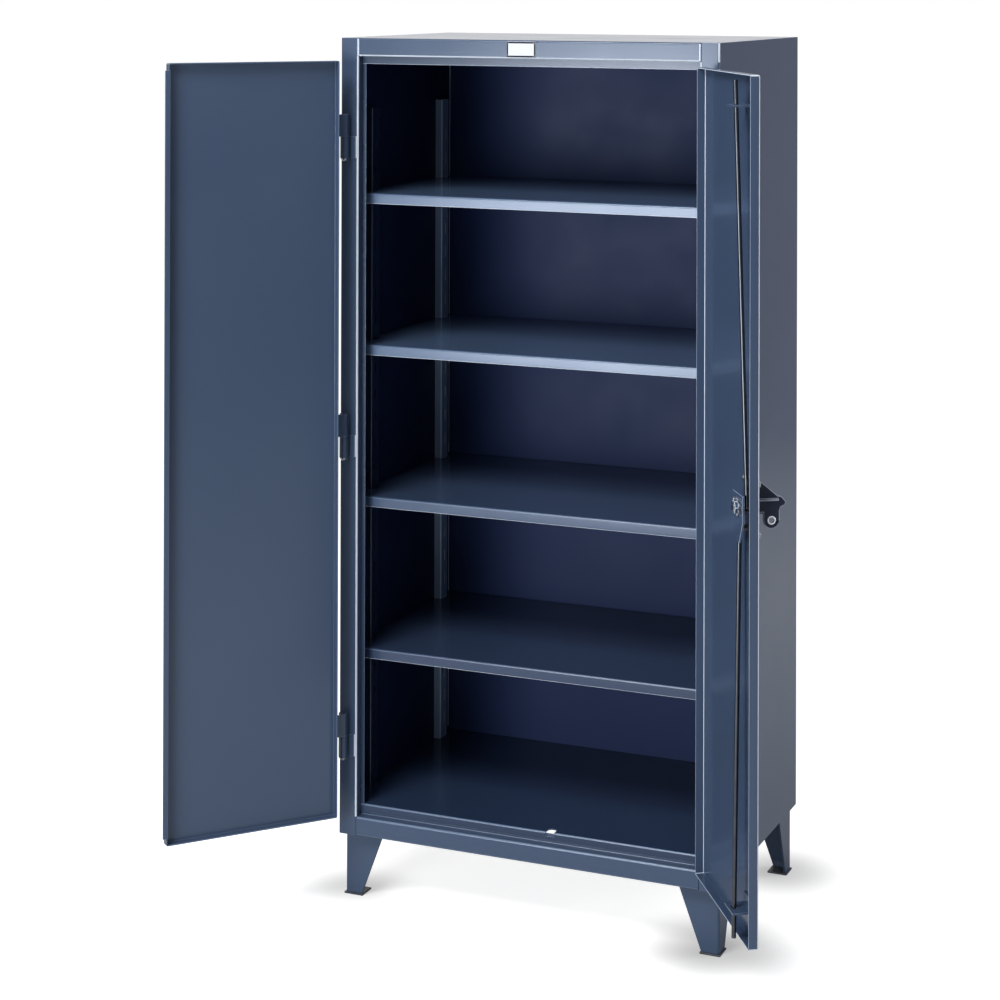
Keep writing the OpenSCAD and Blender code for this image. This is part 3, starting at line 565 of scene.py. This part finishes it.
# The weld along the leaf and the one along the barrel: how far in from the axis and out from the
# stile each lies, and the radius of its drops in millimetres.
leaf_welds = ((0.0222, 0.0006, 1.8), (-0.0052, 0.0010, 2.0))
weld_rise, weld_length = 0.002, 0.047
for side, sign in (("left", -1), ("right", 1)):
    dressed(side + "_stile_knuckles", side + "_stile_barrels", "case", "case_paint", 0.9,
            case_enamel, edge_highlight_enamel, angle=50)
    dressed(side + "_door_knuckles", side + "_door_barrels", side + "_door", "case_paint", 0.9,
            case_enamel, edge_highlight_enamel, angle=50)
    pin_places = [(sign * axis_x, axis_y, z) for z in hinge_feet]
    x, y, z = pin_places[0]
    bpy.ops.object.select_all(action="DESELECT")
    bpy.ops.mesh.primitive_cylinder_add(vertices=32, radius=pin_radius, depth=pin_length,
                                        location=(x, y, z + pin_length / 2))
    pin = bpy.context.object
    bpy.ops.object.transform_apply(location=True, rotation=True, scale=True)
    pick(pin, "faces", lambda face: face.normal.z < -0.9)
    for drop, widen in tip_rings:
        bpy.ops.mesh.extrude_region_move(TRANSFORM_OT_translate={"value": (0, 0, -drop)})
        bpy.ops.transform.resize(value=(widen, widen, 1), center_override=(x, y, z))
    bpy.ops.object.mode_set(mode="OBJECT")
    hinge_pins = joined(side + "_pins", set_at(pin, pin_places))
    coated(hinge_pins, zinc)
    finished(hinge_pins, "case", "bright_steel", side + "_hinge_pins")
    runs = []
    for inward, out, radius_mm in leaf_welds:
        weld_places = [(sign * (axis_x - inward), front_y - out, z + weld_rise) for z in hinge_feet]
        runs += weld_runs(weld_places, weld_length, radius_mm)
    hinge_welds = joined(side + "_hinge_welds", runs)
    # The hinge welds take the near-white painted highlight.
    coated(hinge_welds, fold_highlight_enamel)
    finished(hinge_welds, "case", "case_paint")

# ---------------------------------------------------------------------------------------------
# Blank name plate: an aluminium plate, printed white inside a dark border, held on the header
# by four domed rivets.
# ---------------------------------------------------------------------------------------------


def printed(name, colour, shade, specks, dullness, shine):
    """Print on aluminium: one even tone with hardly any shine. Its specks are drawn much coarser than
    real ones, so that they show."""
    material, tree = new_material(name)
    place = add(tree, "TexCoord").outputs["Object"]
    speck = add(tree, "TexNoise", {"Vector": place}, sockets={"Scale": specks, "Detail": 3.0})
    tone = add(tree, "MixRGB", {"Fac": speck.outputs["Fac"]},
               sockets={"Color1": linear(colour), "Color2": linear(shade)})
    gloss = add(tree, "MapRange", {"Value": speck.outputs["Fac"]},
                sockets={"To Min": dullness[0], "To Max": dullness[1]})
    print_coat = add(tree, "BsdfPrincipled",
                     {"Base Color": tone.outputs["Color"], "Roughness": gloss.outputs["Result"]},
                     sockets={"Specular IOR Level": shine})
    add(tree, "OutputMaterial", {"Surface": print_coat.outputs[0]})
    return material


# The white is chalky. The ink is flat and almost black, and makes the white look brighter.
plate_face = printed("white printed aluminium plate", "#D3D7DD", "#BCC2CB", patches(2.381),
                     dullness=(0.25, 0.4), shine=0.1)
border_ink = printed("dark blue border ink", "#080B14", "#131A28", patches(3.333),
                     dullness=(0.3, 0.5), shine=0.05)
dressed("nameplate", "name_plate", "case", "plate_face", 0.35, plate_face)

plate_low, plate_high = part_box("nameplate")
plate_middle = (plate_low + plate_high) / 2
border_margin, border_width, ink_rise = 0.0004, 0.0034, 0.00015
bpy.ops.mesh.primitive_plane_add(size=1, location=(plate_middle.x, plate_low.y - ink_rise, plate_middle.z),
                                 rotation=(math.radians(90), 0, 0))
border = bpy.context.object
border.name = "plate_border"
border.scale = (plate_high.x - plate_low.x - 2 * border_margin,
                plate_high.z - plate_low.z - 2 * border_margin, 1)
bpy.ops.object.transform_apply(location=True, rotation=True, scale=True)
bpy.ops.object.mode_set(mode="EDIT")
bpy.ops.mesh.select_all(action="SELECT")
bpy.ops.mesh.inset(thickness=border_width)
bpy.ops.mesh.delete(type="FACE")
bpy.ops.object.mode_set(mode="OBJECT")
thick = border.modifiers.new("ink", "SOLIDIFY")
thick.thickness = 0.0001
thick.offset = 0
bpy.ops.object.modifier_apply(modifier=thick.name)
coated(border, border_ink)
finished(border, "case", "plate_face")

rivet_in, rivet_radius, dome_height = 0.004, 0.0018, 0.42
rivet_places = [(x, plate_low.y, z) for x in (plate_low.x + rivet_in, plate_high.x - rivet_in)
                for z in (plate_low.z + rivet_in, plate_high.z - rivet_in)]
bpy.ops.object.select_all(action="DESELECT")
bpy.ops.mesh.primitive_uv_sphere_add(segments=20, ring_count=12, radius=rivet_radius,
                                     location=rivet_places[0])
rivet = bpy.context.object
bpy.ops.object.transform_apply(location=True, rotation=True, scale=True)
bpy.ops.object.mode_set(mode="EDIT")
bpy.ops.mesh.select_all(action="SELECT")
bpy.ops.transform.resize(value=(1, dome_height, 1), center_override=rivet_places[0])
bpy.ops.mesh.bisect(plane_co=rivet_places[0], plane_no=(0, 1, 0), clear_outer=True, use_fill=True)
bpy.ops.object.mode_set(mode="OBJECT")
plate_rivets = joined("plate_rivets", set_at(rivet, rivet_places))
coated(plate_rivets, zinc)
finished(plate_rivets, "case", "plate_face", "nameplate_rivets")

# ---------------------------------------------------------------------------------------------
# Doors: each is a tray pressed from one sheet, with a rounded fold all round the outer face and
# the corners of the flanges welded and ground. The left one carries the strip that closes the
# gap between the two.
# ---------------------------------------------------------------------------------------------
# The door reaches from near_edge to free_edge, both from the hinge axis, and half the gap between
# the doors is left beyond it.
half_gap, near_edge, sheet = 0.0015, 0.0286, 0.0027
free_edge = axis_x - half_gap
left_open, right_open = 130.0, 123.2


def door_tray(name, sign, depth):
    """A door in its closed place: a box without its inner side, folded, and given its thickness."""
    free_corner = Vector((sign * (axis_x - free_edge), front_y, door_foot))
    near_corner = Vector((sign * (axis_x - near_edge), front_y + depth, door_head))
    bpy.ops.object.select_all(action="DESELECT")
    bpy.ops.mesh.primitive_cube_add(size=1, location=(free_corner + near_corner) / 2,
                                    scale=[abs(near_corner[i] - free_corner[i]) for i in range(3)])
    door = bpy.context.object
    door.name = name
    bpy.ops.object.transform_apply(location=True, rotation=True, scale=True)
    pick(door, "faces", lambda face: face.normal.y > 0.9)
    bpy.ops.mesh.delete(type="FACE")
    bpy.ops.object.mode_set(mode="OBJECT")
    pick(door, "edges", lambda edge: len(edge.link_faces) == 2)
    bpy.ops.mesh.bevel(offset=0.004, segments=5, profile=0.5, affect="EDGES")
    bpy.ops.object.mode_set(mode="OBJECT")
    # Painted highlights go on the rim of the right door, on folds beside the left door's edges and on the
    # rounded edges.
    coated(door, case_enamel, fold_highlight_enamel, edge_highlight_enamel)
    wall = door.modifiers.new("sheet", "SOLIDIFY")
    wall.thickness = sheet
    wall.offset = -1
    wall.use_even_offset = True
    wall.material_offset_rim = 1 if sign > 0 else 0
    bpy.ops.object.modifier_apply(modifier=wall.name)
    if sign > 0:
        beside_edge = 0.01
        paint_fold_highlights(door, where=lambda place: not (
            free_corner.x + beside_edge < place.x < near_corner.x - beside_edge))
    round_edges(door, 0.8, angle=60)
    return door


def swing_open(piece, sign, degrees):
    """Turns a piece about its hinge axis, from the closed place to where it stands open."""
    alone(piece)
    hinge = Matrix.Translation((sign * axis_x, axis_y, 0))
    swing = Matrix.Rotation(math.radians(sign * degrees), 4, "Z")
    piece.matrix_world = hinge @ swing @ hinge.inverted() @ piece.matrix_world


left_door = door_tray("left_door_tray", -1, depth=0.021)
swing_open(left_door, -1, left_open)
finished(left_door, "left_door", "case_paint", "left_door_pan")

dressed("astragal", "cover_strip", "left_door", "case_paint", 0.8, case_enamel, edge_highlight_enamel)

right_door = door_tray("right_door_tray", 1, depth=0.0205)
# The hole for the bush of the handle's spindle.
spindle_in = 0.0567
spindle_x = axis_x - free_edge + spindle_in
bpy.ops.mesh.primitive_cylinder_add(vertices=48, radius=0.014, depth=0.02,
                                    location=(spindle_x, front_y, door_mid),
                                    rotation=(math.radians(90), 0, 0))
hole_punch = bpy.context.object
alone(right_door)
punch = right_door.modifiers.new("bush hole", "BOOLEAN")
punch.object = hole_punch
punch.solver = "EXACT"
bpy.ops.object.modifier_apply(modifier=punch.name)
bpy.data.objects.remove(hole_punch)
swing_open(right_door, 1, right_open)
finished(right_door, "right_door", "case_paint", "right_door_pan")

for node in ("door_stiffeners", "upper_guide", "lower_guide"):
    dressed(node, node + "_bent", "right_door", "case_paint", 0.6, case_enamel, edge_highlight_enamel, angle=50)

# ---------------------------------------------------------------------------------------------
# Lock: a plate, a bracket and a handle of forged steel in black enamel outside, and a zinc plated
# spindle in a turned bush. Inside, the cam and its nut are painted with the door, and four plated
# screws hold the cam.
# ---------------------------------------------------------------------------------------------
# Black enamel over a forged skin shines softly and rolls a little. Its edges carry a painted grey
# highlight, partly also wear.
black_enamel = enamel("black enamel on forged steel", "#181D2C", "#20263A", 0.3, wave_mm=0.6, shine=0.25)
black_edge_highlight = enamel("painted highlight on black enamel edges", "#A3ACBD", "#6E7789", 0.3)
dressed("handle_plate", "handle_back_plate", "right_door", "black_paint", 0.8, black_enamel, black_edge_highlight)
dressed("padlock_bracket", "padlock_bracket_plate", "right_door", "black_paint", 1.2,
        black_enamel, black_edge_highlight, segments=3, angle=50)
dressed("handle_lever", "handle_bar", "handle", "black_paint", 1.6,
        black_enamel, black_edge_highlight, segments=3, angle=50)
dressed("plate_bolts", "plate_bolts_domed", "right_door", "bright_steel", 0.8, zinc, angle=50)
dressed("spindle_bush", "spindle_bush_turned", "right_door", "bright_steel", 0.5, zinc, angle=50)
dressed("spindle", "spindle_turned", "handle", "bright_steel", 0.5, zinc, angle=50)
# The cam's edges carry a pale painted highlight.
cam_edge_highlight = enamel("painted highlight along the cam edges", "#93A2BA", "#76869F", 0.25)
for node in ("cam_washer", "cam_nut", "latch_cam"):
    edge_highlight_paint = cam_edge_highlight if node == "latch_cam" else fold_highlight_enamel
    dressed(node, node + "_painted", "handle", "bright_steel", 0.8, case_enamel, edge_highlight_paint, angle=50)

# Screws round the nut, made in the closed place of the door and swung open with it.
screw_circle, screw_depth = 0.0185, 0.0308
screw_places = [(spindle_x + screw_circle * math.cos(math.radians(turn)), front_y + screw_depth,
                 door_mid + screw_circle * math.sin(math.radians(turn))) for turn in (45, 135, 225, 315)]
bpy.ops.object.select_all(action="DESELECT")
bpy.ops.mesh.primitive_cylinder_add(vertices=6, radius=0.0038, depth=0.004, location=screw_places[0],
                                    rotation=(math.radians(90), 0, 0))
screw = bpy.context.object
bpy.ops.object.transform_apply(location=True, rotation=True, scale=True)
pick(screw, "faces", lambda face: face.normal.y > 0.9)
bpy.ops.mesh.inset(thickness=0.0008)
for rise, narrow in ((0.0013, 0.85), (0.0009, 0.6)):
    bpy.ops.mesh.extrude_region_move(TRANSFORM_OT_translate={"value": (0, rise, 0)})
    bpy.ops.transform.resize(value=(narrow, 1, narrow), center_override=screw_places[0])
bpy.ops.object.mode_set(mode="OBJECT")
cam_screws = joined("cam_screws", set_at(screw, screw_places))
coated(cam_screws, zinc)
swing_open(cam_screws, 1, right_open)
finished(cam_screws, "handle", "bright_steel")

# The shackle has rubbed the rim of the bracket's eye down to bright steel: a thin ring round the
# eye, on the face away from the handle, also made in the closed place.
eye_beside, eye_out, eye_drop = 0.0217, 0.034, 0.024
face_out, ring_radius, ring_thick = 0.0033, 0.0073, 0.0014
rim_middle = Vector((spindle_x - eye_beside - face_out, front_y - eye_out, door_mid - eye_drop))
bpy.ops.object.select_all(action="DESELECT")
bpy.ops.mesh.primitive_circle_add(vertices=12, radius=ring_thick, rotation=(math.radians(90), 0, 0),
                                  location=rim_middle + Vector((0, 0, ring_radius)))
eye_rim = bpy.context.object
eye_rim.name = "eye_rim"
bpy.ops.object.transform_apply(location=True, rotation=True, scale=True)
bpy.ops.object.mode_set(mode="EDIT")
bpy.ops.mesh.select_all(action="SELECT")
bpy.ops.mesh.spin(steps=40, angle=math.radians(360), center=rim_middle, axis=(1, 0, 0))
bpy.ops.mesh.select_all(action="SELECT")
bpy.ops.mesh.remove_doubles(threshold=0.00001)
bpy.ops.mesh.normals_make_consistent(inside=False)
bpy.ops.object.mode_set(mode="OBJECT")
# Its finish is only partly metal and is a painted highlight, so that it stays bright beside the dark
# door.
coated(eye_rim, bare_steel("rubbed rim steel with painted highlight", "#F0F2F5", "#C4C9D0", 0.4, metal=0.3))
swing_open(eye_rim, 1, right_open)
finished(eye_rim, "right_door", "bright_steel")

# ---------------------------------------------------------------------------------------------
# Lock rods: drawn steel bar, oiled dark and cranked at the cam. Each turns on a pin in the cam,
# held by a spring ring, and slides through its guide to the top or the floor.
# ---------------------------------------------------------------------------------------------
# The drawing lines run along the bar and stretch its highlights.
drawn_steel = bare_steel("oiled drawn steel", "#565A61", "#3E4148", 0.2, grain_scale=(1, 1, 0.02))
for side in ("upper", "lower"):
    rod = copy_of(side + "_rod", side + "_rod_bar", drawn_steel)
    finished(rod, side + "_rod", "bright_steel", side + "_rod")
    dressed(side + "_rod_clip", side + "_rod_ring", side + "_rod", "bright_steel", 0.3, zinc, angle=50)
